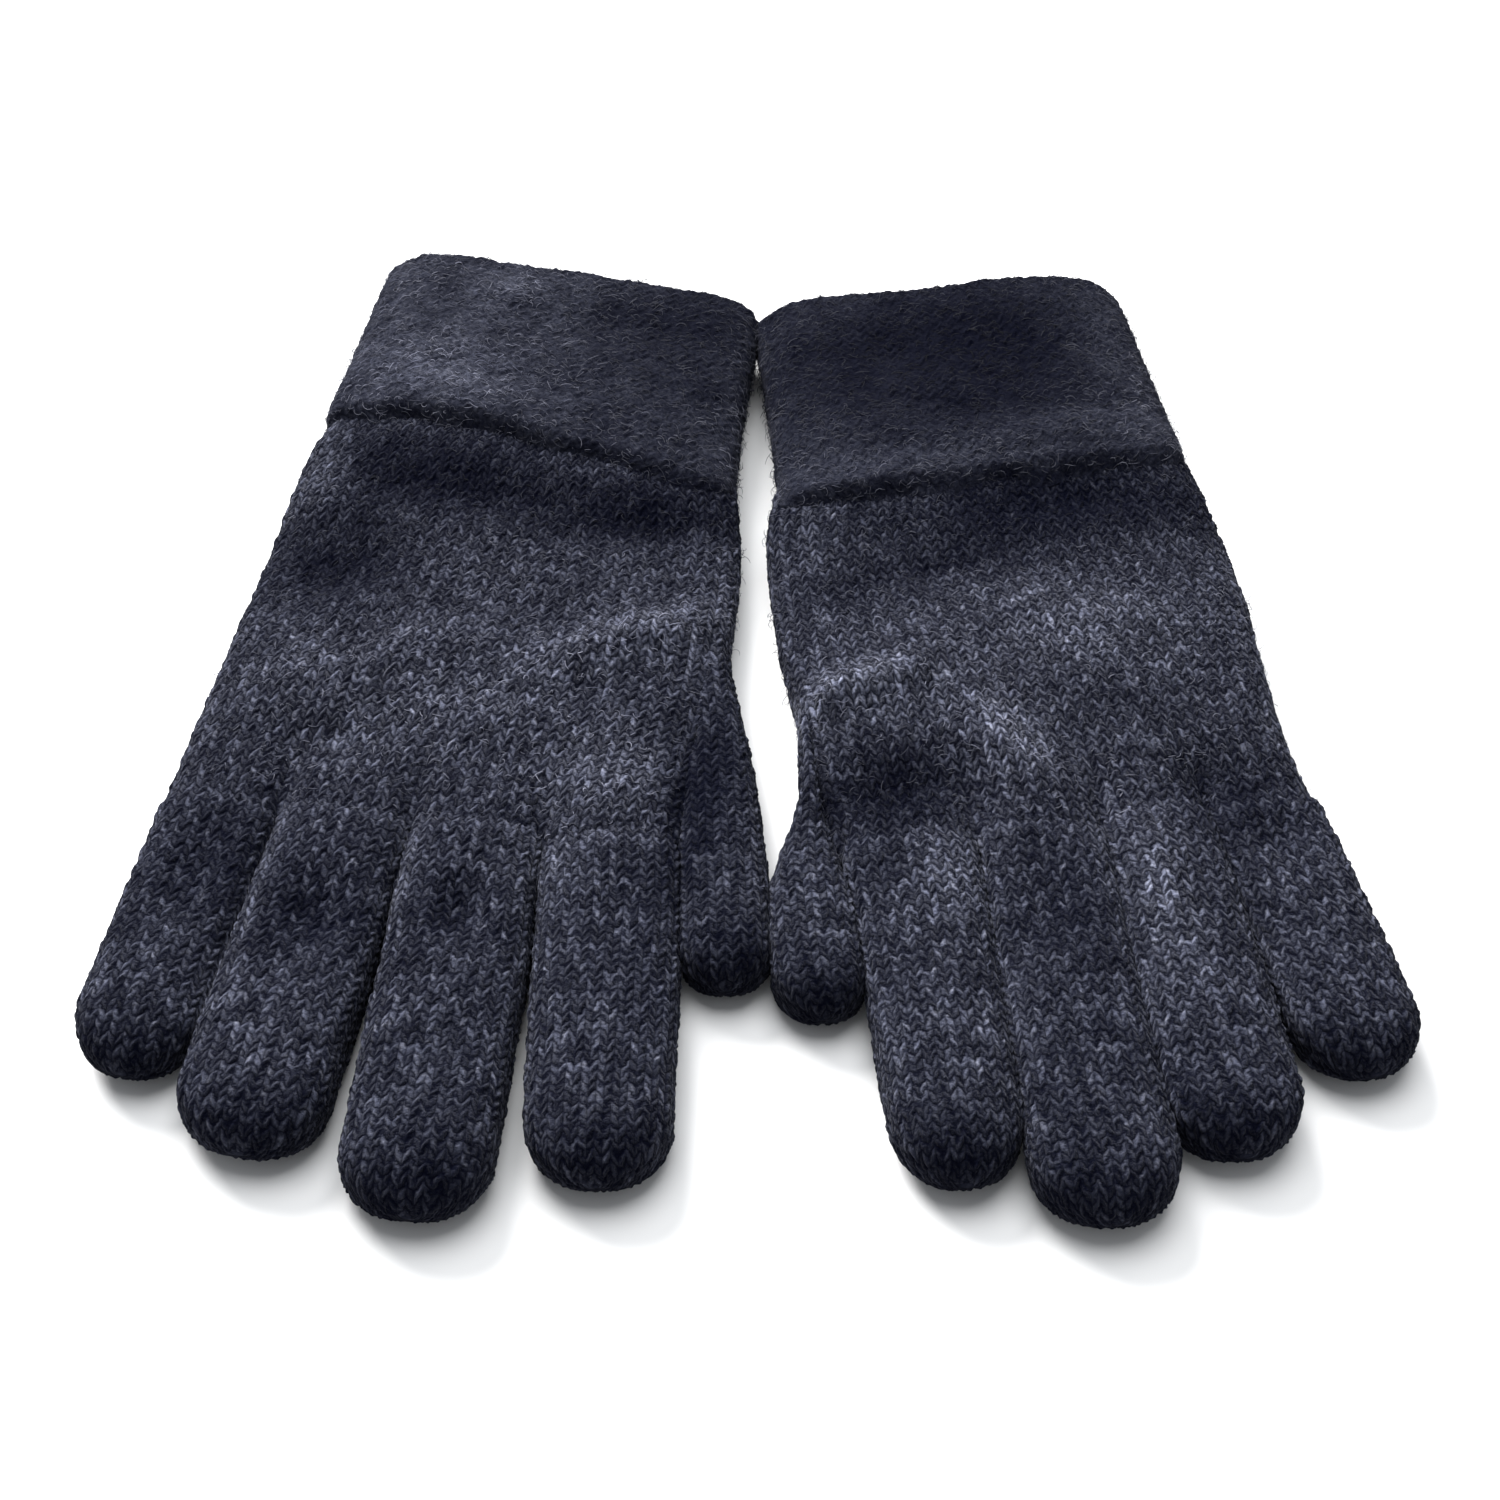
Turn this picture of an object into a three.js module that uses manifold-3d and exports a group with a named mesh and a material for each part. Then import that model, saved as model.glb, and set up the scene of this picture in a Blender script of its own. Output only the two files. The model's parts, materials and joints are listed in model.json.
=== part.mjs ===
// A pair of knitted touchscreen gloves, lying palms down with the fingers towards -Y and the cuffs towards +Y.
// The origin is at the middle of the pair's footprint, on the surface that it lies on. Millimetres, +Z up.
//
// Each glove is a hand tube, a wrist tube that goes on inside the cuff, a turned-up cuff round it, an elastic
// between the two layers, and five digits. A digit's knitted tube is held as a base tube and an end tube, which
// fold at a knuckle line, and thumb, index and middle finger end in a touch tip knitted from conductive yarn.
import * as THREE from 'three';
import { mergeVertices } from 'three/addons/utils/BufferGeometryUtils.js';
import Module from 'manifold-3d';

const wasm = await Module();
wasm.setup();

// Driving dimensions. The fabric and how the gloves lie:
const WALL = 2.4; // thickness of the knitted fabric
const GAP = 0.4; // clearance between pieces that meet
const LEAN = THREE.MathUtils.degToRad(8); // each glove leans outwards from cuff to fingertips
const GLOVE_X = 71.3; // a glove's own origin, from the middle of the pair
const DIGIT_HIGH = 13; // height of a finger, lying flat
const KNUCKLE = DIGIT_HIGH / 2; // radius of the rounded fold at a root or a knuckle line
const ROOT_Y = 76; // the line of the four finger roots, in a glove's own frame
const PALM_END = ROOT_Y + KNUCKLE + GAP; // where the hand tube ends, behind the finger roots
const THUMB_Y = 98; // the thumb's root
const THUMB_CLEAR = 1.2; // room for the thumb's root, which is slanted
const SHOULDER_END = THUMB_Y + KNUCKLE + THUMB_CLEAR;
const SHOULDER_HIGH = DIGIT_HIGH + 0.4;
const CROWN = 1.6; // how much higher the middle of the hand is than its ends
const CROWN_Y = [112, 130]; // the crown is full between these lines
const NECK_RISE = 18; // length over which the hand's underside climbs onto the cuff's lower layer
const ROOT_HOLE = 8; // how far a digit's opening runs back into the palm
const TOUCH_LONG = 19; // length of a conductive fingertip
const CORE_END = 186; // where the hand tube becomes the wrist tube
const ELASTIC_ROOM = 1; // space between wrist and cuff, for the elastic
const ELASTIC_THICK = 0.5;
const ELASTIC_Y = [204, 214];
const CUFF_HIGH = 17;
const CORE_LOW = WALL + ELASTIC_ROOM; // underside of the wrist, on top of the cuff's lower layer
const SOFT = 2.6; // exponent of a digit's section: 2 is an ellipse, larger is boxier
const FLAT = 3.4; // exponent of the hand's and cuff's sections
const ROUND_DIGIT = 12; // corners round a digit
const ROUND_HAND = 20; // corners round a hand or cuff
const CREST = 1.06; // a section is this much too high, then cut flat, so that it has a level top and base
const DOME = 0.475; // length of a fingertip's dome, as a share of the finger's width
const DOME_STEPS = [0, 0.5, 0.8, 0.98]; // along a fingertip's dome
const FOLD_STEPS = [-0.62, -0.35, 0]; // along the rounded fold behind a root or knuckle line
const PAST = 1; // how far a cutting shape runs on past what it cuts
const ACROSS = 200; // size of a slab that reaches right across a glove

// How each glove lies, in its own frame: x is positive towards its thumb and y towards its cuff.
// hand and cuff: [y, little finger's edge, thumb's edge]; digits: root x, tip [x, y], width at root and at tip.
const GLOVES = {
  right: {
    side: 1,
    hand: [[PALM_END, -49.5, 46.4], [104, -49, 43.2], [116, -48.6, 47.5], [130, -48.3, 49.6],
      [152, -47.5, 48.3], [166, -46.4, 46.2]],
    shoulder: [[SHOULDER_END, 28, 58], [112, 28, 55.4], [120, 28, 51.6], [130, 28, 48.6]],
    cuff: [[178, -45.8, 44.6], [205, -44.5, 43.3], [228, -43.9, 41.2], [238, -42, 38.6], [241, -39, 34]],
    digits: {
      thumb: { root: 51.5, tip: [59.5, 51.5], wide: [13.6, 13.6] },
      index: { root: 35.6, tip: [45.5, 6.5], wide: [24.4, 24.8] },
      middle: { root: 10.3, tip: [16.5, -3.5], wide: [22.5, 25.6] },
      ring: { root: -14.1, tip: [-14.8, 4.5], wide: [24, 25.6] },
      little: { root: -38.6, tip: [-39.6, 17.5], wide: [21, 20.4] },
    },
  },
  left: {
    side: -1,
    hand: [[PALM_END, -45, 43], [104, -43.5, 42.6], [116, -44.5, 45.8], [130, -45.7, 48],
      [152, -46, 46.8], [162, -45, 45]],
    shoulder: [[SHOULDER_END, 28, 56.2], [112, 28, 53.6], [120, 28, 50], [130, 28, 47]],
    cuff: [[168, -44.4, 43.6], [200, -42.6, 40.6], [224, -42.4, 37.4], [233, -40.4, 34.6], [236, -37, 30]],
    digits: {
      thumb: { root: 50.3, tip: [52.3, 44.5], wide: [11.6, 11.6] },
      index: { root: 32.3, tip: [36.8, 5.5], wide: [23, 22.4] },
      middle: { root: 8, tip: [13.5, -5], wide: [23, 23.8] },
      ring: { root: -13.3, tip: [-11, 4.5], wide: [17.4, 22.4] },
      little: { root: -34.5, tip: [-37.2, 17.5], wide: [21.5, 21] },
    },
  },
};
const TOUCH_DIGITS = ['thumb', 'index', 'middle'];

// Yarn colours: the knit, the turned cuff's brushed reverse, the conductive yarn and the elastic.
const FINISHES = {
  knit: { color: 0x2c2e3d, roughness: 0.95, metalness: 0 },
  cuff: { color: 0x262838, roughness: 1, metalness: 0 },
  touch: { color: 0x242632, roughness: 0.8, metalness: 0.1 },
  elastic: { color: 0x15161c, roughness: 0.9, metalness: 0 },
};

const cushioned = (part, power) => Math.sign(part) * Math.abs(part) ** (2 / power);

// A closed solid through sections at rising y, each { y, left, right, low, high }: a cylinder's rings, moved.
function loft(sections, power, round) {
  const rows = sections.length - 1;
  const geometry = new THREE.CylinderGeometry(1, 1, rows, round, rows);
  const points = geometry.getAttribute('position');
  for (let i = 0; i < points.count; i += 1) {
    const { y, left, right, low, high } = sections[Math.round(points.getY(i) + rows / 2)];
    const reach = Math.hypot(points.getX(i), points.getZ(i)) > 0.5 ? 1 : 0;
    const turn = Math.atan2(points.getZ(i), points.getX(i));
    const across = reach * cushioned(Math.cos(turn), power);
    const up = reach * THREE.MathUtils.clamp(CREST * cushioned(Math.sin(turn), power), -1, 1);
    points.setXYZ(i, (left + right + (right - left) * across) / 2, y, (low + high + (high - low) * up) / 2);
  }
  return solidOf(geometry);
}

function solidOf(geometry) {
  geometry.deleteAttribute('normal');
  geometry.deleteAttribute('uv');
  const welded = mergeVertices(geometry, 1e-5);
  return new wasm.Manifold(new wasm.Mesh({
    numProp: 3,
    vertProperties: Float32Array.from(welded.getAttribute('position').array),
    triVerts: Uint32Array.from(welded.getIndex().array),
  }));
}

function meshOf(name, solid, finish) {
  const { vertProperties, triVerts } = solid.getMesh();
  const geometry = new THREE.BufferGeometry();
  geometry.setAttribute('position', new THREE.BufferAttribute(vertProperties, 3));
  geometry.setIndex(new THREE.BufferAttribute(triVerts, 1));
  geometry.computeVertexNormals();
  const mesh = new THREE.Mesh(geometry, new THREE.MeshStandardMaterial(FINISHES[finish]));
  mesh.name = name;
  return mesh;
}

const inset = (section, by) => ({
  y: section.y,
  left: section.left + by,
  right: section.right - by,
  low: section.low + by,
  high: section.high - by,
});

// The same sections, pushed on past both ends so that they cut right through.
const runOn = (sections, first, last) => [
  { ...sections[0], y: sections[0].y - first },
  ...sections.slice(1, -1),
  { ...sections.at(-1), y: sections.at(-1).y + last },
];

// Sections of [y, outer edge, thumb's edge] rows, turned the right way round for a left or a right glove.
function sided(side, rows, low, high) {
  return rows.map(([y, outer, thumbward]) => ({
    y,
    left: side > 0 ? outer : -thumbward,
    right: side > 0 ? thumbward : -outer,
    low: typeof low === 'function' ? low(y) : low,
    high: typeof high === 'function' ? high(y) : high,
  }));
}

const between = (value, from, to) => THREE.MathUtils.clamp((value - from) / (to - from), 0, 1);

// A digit in its own frame: y runs from the root to the tip, and z = 0 is the surface that it lies on.
function measureDigit({ side }, { root, tip, wide }, rootY) {
  const run = new THREE.Vector2(side * (tip[0] - root), tip[1] - rootY);
  const long = run.length();
  return {
    long,
    wide,
    at: [side * root, rootY],
    turn: Math.atan2(-run.x, run.y),
    knuckle: (long - KNUCKLE) / 2,
  };
}

// A digit's section at y from its root, for a piece that starts at a fold or reaches the tip.
function digitSection(digit, y, fold) {
  const half = THREE.MathUtils.lerp(digit.wide[0], digit.wide[1], between(y, 0, digit.long)) / 2;
  const dome = 2 * half * DOME;
  const tipward = between(y, digit.long - dome, digit.long);
  const behind = Math.min(0, y - fold);
  const across = half * Math.sqrt(1 - tipward ** 2);
  const up = Math.sqrt(KNUCKLE ** 2 - behind ** 2) * Math.sqrt(1 - tipward ** SOFT);
  return { y, left: -across, right: across, low: KNUCKLE - up, high: KNUCKLE + up };
}


// Sections of a digit from its fold at y = fold as far as y = end, or to the tip if end is left out.
function digitSections(digit, fold, end) {
  const nose = FOLD_STEPS.map((part) => fold + part * KNUCKLE);
  const dome = digit.wide[1] * DOME;
  const rest = end ? [end] : DOME_STEPS.map((part) => digit.long - dome * (1 - part));
  return [...nose, ...rest].map((y) => digitSection(digit, y, fold));
}

// The space inside a digit, as far as its tip.
function digitHollow(digit, fold) {
  const shorter = { ...digit, long: digit.long - WALL, wide: digit.wide.map((width) => width - 2 * WALL) };
  const sections = digitSections(shorter, fold).map((section) => ({
    ...section,
    low: Math.max(section.low, 0) + WALL * (section.y < fold ? 0 : 1),
    high: section.high - WALL * (section.y < fold ? 0 : 1),
  }));
  const mouth = sections.find((section) => section.y === fold);
  const straight = sections.filter((section) => section.y > fold);
  return [{ ...mouth, y: fold - 2 * KNUCKLE }, ...straight];
}

// A solid slab across a digit or a glove, used to keep or cut away what lies between two lines.
function slab(from, to) {
  const box = new THREE.BoxGeometry(ACROSS, to - from, ACROSS);
  box.translate(0, (from + to) / 2, 0);
  return solidOf(box);
}

function buildDigit(side, name, digit) {
  const touch = TOUCH_DIGITS.includes(name);
  const title = `${side}_${name}`;
  const base = loft(digitSections(digit, 0, digit.knuckle - KNUCKLE - GAP), SOFT, ROUND_DIGIT)
    .subtract(loft(digitHollow(digit, 0), SOFT, ROUND_DIGIT));
  const end = loft(digitSections(digit, digit.knuckle), SOFT, ROUND_DIGIT)
    .subtract(loft(digitHollow(digit, digit.knuckle), SOFT, ROUND_DIGIT));
  const pieces = [meshOf(`${title}_base_tube`, base, 'knit')];
  const seam = digit.long - TOUCH_LONG;
  if (touch) {
    const endTube = end.subtract(slab(seam - GAP, digit.long + PAST));
    pieces.push(meshOf(`${title}_end_tube`, endTube, 'knit'));
    pieces.push(meshOf(`${title}_touch_tip`, end.intersect(slab(seam, digit.long + PAST)), 'touch'));
  } else {
    pieces.push(meshOf(`${title}_end_tube`, end, 'knit'));
  }
  const group = new THREE.Group();
  group.add(...pieces);
  group.position.set(digit.at[0], digit.at[1], 0);
  group.rotation.z = digit.turn;
  return group;
}

// The hole that a digit's root opens into: the digit's inner section, run backwards into the palm.
function rootHole(digit) {
  const half = digit.wide[0] / 2 - WALL;
  const hole = { left: -half, right: half, low: WALL, high: DIGIT_HIGH - WALL };
  return loft([{ ...hole, y: -KNUCKLE - ROOT_HOLE }, { ...hole, y: 0 }], SOFT, ROUND_DIGIT)
    .rotate([0, 0, THREE.MathUtils.radToDeg(digit.turn)])
    .translate([digit.at[0], digit.at[1], 0]);
}

// The wrist's row at y: the cuff's first stretch there, less the room that the cuff's layer takes.
function coreRow({ cuff: [first, second] }, y) {
  const along = (y - first[0]) / (second[0] - first[0]);
  const edges = [1, 2].map((edge) => THREE.MathUtils.lerp(first[edge], second[edge], along));
  return [y, edges[0] + CORE_LOW, edges[1] - CORE_LOW];
}

// The palm and back of the hand, with the thumb's shoulder, narrowing into the cuff.
function buildHand(title, glove, digits) {
  const neck = glove.cuff[0][0] - GAP;
  const rows = [...glove.hand, coreRow(glove, neck), coreRow(glove, CORE_END)];
  const last = glove.hand.at(-1)[0];
  const low = (y) => CORE_LOW * between(y, last - NECK_RISE, neck);
  const high = (y) => DIGIT_HIGH + CROWN * between(y, PALM_END, CROWN_Y[0]) - between(y, CROWN_Y[1], last);
  const sections = sided(glove.side, rows, low, high);
  const shoulder = sided(glove.side, glove.shoulder, 0, SHOULDER_HIGH);
  const hollow = runOn(sections.map((section) => inset(section, WALL)), -WALL, PAST);
  const pocket = shoulder.map((section) => inset(section, WALL));
  const holes = Object.values(digits).map(rootHole);
  const solid = loft(sections, FLAT, ROUND_HAND)
    .add(loft(shoulder, SOFT, ROUND_DIGIT))
    .subtract(loft(hollow, FLAT, ROUND_HAND))
    .subtract(loft(runOn(pocket, -WALL, 0), SOFT, ROUND_DIGIT));
  return meshOf(`${title}_hand_tube`, holes.reduce((left, hole) => left.subtract(hole), solid), 'knit');
}

// The cuff's three pieces: the wrist tube inside, the elastic round it and the turned-up layer over both.
function buildCuff(title, glove) {
  const outer = sided(glove.side, glove.cuff, 0, CUFF_HIGH);
  const top = outer.at(-1).y;
  const core = outer.map((section) => inset(section, CORE_LOW));
  const room = core.map((section) => inset(section, -ELASTIC_ROOM));
  const mouth = core.map((section) => inset(section, WALL));
  const lip = top - WALL; // the fold at the cuff's edge, which covers the wrist tube's end
  const wrist = loft(runOn(core, PAST, PAST), FLAT, ROUND_HAND)
    .subtract(loft(runOn(mouth, 2 * PAST, 2 * PAST), FLAT, ROUND_HAND))
    .intersect(slab(CORE_END + GAP, lip - GAP));
  const cuff = loft(outer, FLAT, ROUND_HAND)
    .subtract(loft(runOn(room, PAST, PAST), FLAT, ROUND_HAND).intersect(slab(0, lip)))
    .subtract(loft(runOn(mouth, PAST, PAST), FLAT, ROUND_HAND));
  const band = core.map((section) => inset(section, -(ELASTIC_ROOM - ELASTIC_THICK) / 2));
  const elastic = loft(band.map((section) => inset(section, -ELASTIC_THICK)), FLAT, ROUND_HAND)
    .subtract(loft(runOn(band, PAST, PAST), FLAT, ROUND_HAND))
    .intersect(slab(...ELASTIC_Y));
  return [
    meshOf(`${title}_wrist_tube`, wrist, 'knit'),
    meshOf(`${title}_cuff_elastic`, elastic, 'elastic'),
    meshOf(`${title}_turned_cuff`, cuff, 'cuff'),
  ];
}

function buildGlove(title, glove) {
  const digits = Object.fromEntries(Object.entries(glove.digits).map(([name, digit]) => (
    [name, measureDigit(glove, digit, name === 'thumb' ? THUMB_Y : ROOT_Y)])));
  const group = new THREE.Group();
  group.add(buildHand(title, glove, digits), ...buildCuff(title, glove));
  Object.entries(digits).forEach(([name, digit]) => group.add(buildDigit(title, name, digit)));
  group.position.x = -glove.side * GLOVE_X;
  group.rotation.z = -glove.side * LEAN;
  return group;
}

const pair = new THREE.Group();
Object.entries(GLOVES).forEach(([title, glove]) => pair.add(buildGlove(title, glove)));
pair.updateMatrixWorld(true);
const box = new THREE.Box3().setFromObject(pair, true);
const middle = box.getCenter(new THREE.Vector3());
pair.position.set(-middle.x, -middle.y, -box.min.z);

export default pair;
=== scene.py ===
# A pair of thick knitted touchscreen gloves, lying palms down with the fingers towards the viewer.
# The knitting is real relief on closed tubes: one stitch is a V of two legs, heathered leg by leg.
import json

import bpy
import numpy as np
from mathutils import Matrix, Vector


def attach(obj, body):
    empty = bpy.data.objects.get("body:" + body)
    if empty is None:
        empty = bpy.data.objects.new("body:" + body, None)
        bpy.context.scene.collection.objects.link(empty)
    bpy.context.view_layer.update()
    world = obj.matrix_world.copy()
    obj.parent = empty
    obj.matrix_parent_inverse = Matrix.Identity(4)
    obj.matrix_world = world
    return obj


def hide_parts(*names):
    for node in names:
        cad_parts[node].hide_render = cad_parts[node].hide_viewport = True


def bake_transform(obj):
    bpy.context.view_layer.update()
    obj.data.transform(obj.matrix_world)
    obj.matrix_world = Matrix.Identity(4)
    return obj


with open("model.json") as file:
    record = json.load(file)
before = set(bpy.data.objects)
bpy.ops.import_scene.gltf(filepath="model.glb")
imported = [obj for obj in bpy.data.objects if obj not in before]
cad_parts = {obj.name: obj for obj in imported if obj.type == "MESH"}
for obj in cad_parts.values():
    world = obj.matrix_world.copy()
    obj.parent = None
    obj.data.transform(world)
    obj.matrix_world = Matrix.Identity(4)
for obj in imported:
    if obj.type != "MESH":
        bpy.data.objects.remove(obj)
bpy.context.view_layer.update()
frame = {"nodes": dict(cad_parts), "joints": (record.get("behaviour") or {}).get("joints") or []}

MM = 0.001
JOINTS = {joint["name"]: joint for joint in frame["joints"]}
FINGERS = ["index", "middle", "ring", "little"]
DIGITS = ["thumb", *FINGERS]
SIDES = {"right": 1, "left": -1}

# The knitting, in millimetres.
WALE = 2.75  # width of one V
COURSE = 2.1  # height of one V
COLUMNS = 6  # mesh columns across a wale
ROWS = 4  # mesh rows up a course
SLANT = 0.85  # how far a leg climbs from the middle of its V to the side, in courses
KNIT_RELIEF = 0.4
PURL_RELIEF = 0.3
REST = 0.25  # clearance over the surface that the gloves lie on

# The index finger's root in a glove's own frame, which the frame's joints give in the world:
# x is positive towards the thumb and y towards the cuff.
INDEX_ROOT = {"right": (35.6, 76.0), "left": (32.3, 76.0)}
ROOT_Y = 76.0
MID_HIGH = 6.5  # height of the middle of a digit

# Outline of each hand: [y, outer edge, thumb's edge].
HAND = {
    "right": [[70, -49.3, 48.4], [84, -48.6, 48.7], [100, -47.9, 49], [120, -47, 49.4], [133, -46.8, 49.2],
              [150, -46.9, 48.4], [160, -46.9, 47.2], [170, -46.2, 45.2], [178, -44.8, 43.2],
              [192, -42, 40.6]],
    "left": [[70, -44.6, 46.6], [80, -43.2, 47], [95, -42.4, 47.6], [113, -43.4, 47.8], [130, -45.3, 48.4],
             [149, -45.4, 47.6], [162, -44.8, 46.4], [170, -43.6, 44.4], [178, -41.6, 41],
             [192, -39.6, 38.2]],
}
# Height of the back of each hand: [y, height].
BACK = {
    "right": [[73, 12.4], [82, 13.2], [100, 14], [118, 15], [132, 14.2], [148, 12.4],
              [158, 13], [170, 14.6], [192, 14.4]],
    "left": [[73, 12.4], [82, 13], [98, 14], [110, 15], [122, 14.2], [138, 13],
             [152, 12.6], [162, 14.2], [192, 14.2]],
}
# Outline of each cuff, and its hem and its top edge as [x, y].
CUFF = {
    "right": [[164, -46, 45.6], [178, -45.2, 44], [205, -44.2, 42.2], [228, -43.8, 41.8],
              [244, -43.4, 41.6]],
    "left": [[158, -44.6, 45.4], [169, -44, 44.4], [185, -43, 42.2], [205, -42.4, 40.8], [236, -42, 39.6]],
}
HEM = {
    "right": [[-46, 180], [-30, 182], [-10, 180], [10, 175], [30, 170], [46, 168]],
    "left": [[-45, 168], [-25, 166], [0, 165], [25, 164], [45, 163]],
}
TOP = {
    "right": [[-44, 239], [-34, 239], [-10, 235], [15, 232.8], [44, 233.4]],
    "left": [[-43, 229], [-30, 230], [-10, 229], [10, 228.8], [42, 231]],
}
CUFF_HIGH = 17.0
CUFF_LONG = 60.0  # from hem to top edge, measured up the middle
CUFF_START = 176.0  # where the outline of a cuff is read for its hem
MOUTH_DEEP = 46.0  # how far the inner layer goes down into the mouth
FOLD_OUT = 1.2  # how far the top fold bulges past the top edge
FOLD_HALF = 2.9  # half the thickness that the fabric takes up at the top fold
HEM_THIN = 3.4  # how much thinner than the cuff its hem is
HEM_SHARE = 0.085  # over this share of the cuff
HAND_SPAN = (188.0, 73.2)  # from inside the cuff to between the fingers
NECK = (158.0, 178.0)  # where the underside of the hand climbs into the cuff
NECK_RISE = 3.2
TUCK = (78.4, 74.0)  # where the hand closes between the fingers
TUCK_IN = 1.2
FINGER_SWELL = (98.0, 79.0)  # where the back of the hand takes on the fingers' shapes
FLAT = 3.4  # exponent of a hand's or cuff's section: 2 is an ellipse, larger is boxier
SOFT = 3.0  # the same for a digit
HAND_WALES = 80
CUFF_WALES = 66

# Edges of each digit, measured from its own axis: [distance from its root, edge towards the little finger,
# edge towards the thumb].
SPREAD = {
    "right": {
        "thumb": [[-34, -4.5, 3], [-24, -4.5, 3.8], [-15, -5, 4.8], [-3, -6, 7], [9, -7.2, 7.8],
                  [20, -7.8, 8.6], [30, -7.8, 9], [60, -7.8, 8.6]],
        "index": [[-10, -13.2, 12.8], [0, -13.2, 13], [30, -13.2, 12.8], [75, -12.6, 11.8]],
        "middle": [[-10, -12.6, 12.6], [0, -12.6, 12.8], [30, -13, 13], [85, -14, 12.2]],
        "ring": [[-10, -12.6, 12.6], [0, -12.8, 12.6], [30, -13.2, 13], [75, -13.4, 13.2]],
        "little": [[-10, -10.2, 12.2], [0, -10.2, 12.4], [30, -10.4, 12.3], [60, -10.2, 11.8]],
    },
    "left": {
        "thumb": [[-16, -4, -3], [-8, -4, -1.6], [0, -4, -0.6], [8, -4, 0.4], [14, -4.4, 2.4],
                  [20, -5.2, 5.4], [26, -6.4, 8], [32, -7.4, 9.2], [60, -7.6, 8.8]],
        "index": [[-10, -12.6, 14], [0, -12.6, 13.2], [30, -12.4, 11.6], [75, -11.8, 9.8]],
        "middle": [[-10, -11.6, 12.4], [0, -11.8, 12.6], [30, -12.6, 12.8], [85, -12.8, 12.6]],
        "ring": [[-10, -10.6, 10.8], [0, -10.8, 11], [30, -11.6, 11.8], [75, -12.2, 12.4]],
        "little": [[-10, -10, 12.4], [0, -10.2, 12.4], [30, -11, 11.9], [60, -11.4, 11.4]],
    },
}
DIGIT_HIGH = {"thumb": 12.2, "index": 13.2, "middle": 13.4, "ring": 13.4, "little": 12.8}
DOME = 12.5  # length of a fingertip's dome
THUMB_DOME = 8.0
DOME_POWER = 2.4
LAST_OF_DOME = 0.9995  # the dome stops just short of a point
FINGER_START = -7.0  # a finger's surface starts this far inside the hand
ROOT_SLIM = 1.3  # how much narrower each side of it is in there

# Soft hills and hollows of the cloth: [x, y, reach along, reach across, turned by degrees, height].
FOLDS = {
    "right": [[32, 126, 17, 5.5, 33, 3.2], [-14, 164, 24, 6, -5, -1.6], [27, 158, 15, 5, 10, -1.4],
              [-31, 139, 12, 9, 20, -2.8], [-40, 158, 8, 8, 0, 1.6], [33, 88, 12, 8, 0, 1.4],
              [-5, 132, 14, 9, 30, -1.2], [-22, 110, 13, 6, 25, 1.5], [-24, 93, 10, 5, 0, -1.4],
              [4, 102, 13, 6, 15, 0.9]],
    "left": [[36, 114, 14, 4.8, -12, 3.6], [11, 94, 14, 5, 68, 2.8], [31, 88, 13, 8, 0, -3.4],
             [-15, 160, 18, 5, 0, -1.4], [-24, 82, 10, 7, 0, -2.2], [-12, 128, 18, 7, 15, 1.5],
             [20, 143, 17, 6, -10, -1.5], [-30, 110, 11, 10, 0, -1.3], [14, 128, 12, 5, -20, 0.9]],
}
CUFF_FOLDS = {
    "right": [[-4, 188, 26, 6, -5, 1.2], [10, 216, 22, 9, 0, -1.4], [-25, 200, 12, 12, 0, 1.1],
              [-6, 226, 9, 5, 0, 0.8]],
    "left": [[0, 209, 24, 10, 0, -1.5], [-14, 178, 24, 5, 0, 1.4], [26, 186, 10, 8, 0, 1.0]],
}
# The same on the digits: [distance from the root, offset, reach along, reach across, height].
DIMPLES = {
    "right": {"thumb": [], "index": [[16, 2, 8, 5, -1.2]], "middle": [[19, 1, 8, 5.5, -2.4]],
              "ring": [[24, 1, 9, 6, -2.6]], "little": [[14, 2, 10, 5, -2.0]]},
    "left": {"thumb": [], "index": [[10, 4, 9, 5, -1.2]], "middle": [[16, 1, 10, 5, -1.8]],
             "ring": [[16, 2, 12, 4, 1.4]], "little": [[8, 0, 9, 6, -2.0]]},
}
# Painted light and shade: patches of the wool's colour made lighter or darker where light or shade falls on
# the
# cloth, in the same form as the folds: the last number is how much lighter or darker that makes them.
PAINTED_LIGHT_AND_SHADE = {
    "right": [[34, 127, 22, 9, 33, 1.0], [-20, 169, 27, 11, -6, -1.9], [27, 163, 20, 8, 8, -1.7],
              [-30, 139, 14, 13, 0, -1.5], [-40, 168, 7, 10, 0, 1.3], [32, 88, 14, 12, 0, 0.8],
              [-13.6, 51.7, 8, 8, 0, -0.9], [9.3, 57, 8, 7, 0, -0.8], [-33, 62, 11, 9, 0, -0.6],
              [26, 216, 20, 28, 0, -1.2], [-22, 194, 22, 12, 0, 0.7], [0, 106, 34, 17, 0, 0.6],
              [50, 90, 6, 20, 0, -1.6], [-10, 226, 10, 6, 0, 0.5], [34, 50, 9, 22, 0, 0.25],
              [-25, 56, 2.5, 20, 0, 0.9], [0, 62, 2.5, 14, 0, 0.7], [24, 68, 8, 4, 20, 0.5]],
    "left": [[36, 113, 15, 7, -12, 1.2], [12, 97, 13, 8, 60, 1.0], [33, 88, 14, 9, 0, -1.3],
             [-15, 159, 26, 9, 0, -1.5], [0, 206, 42, 26, 0, -2.2], [-8, 58, 6, 20, 0, 0.9],
             [-28, 76, 11, 11, 0, -0.8], [28, 66, 7, 11, 0, 0.8], [-34, 196, 8, 20, 0, 0.9],
             [20, 146, 26, 6, -8, -0.7], [10, 174, 30, 5, 0, 0.5], [-12, 122, 20, 12, 15, 0.6],
             [9, 58, 7, 20, 0, -0.5], [36, 131, 10, 6, 0, 0.5], [-6, 158, 40, 6, 0, -0.5]],
}
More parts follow.
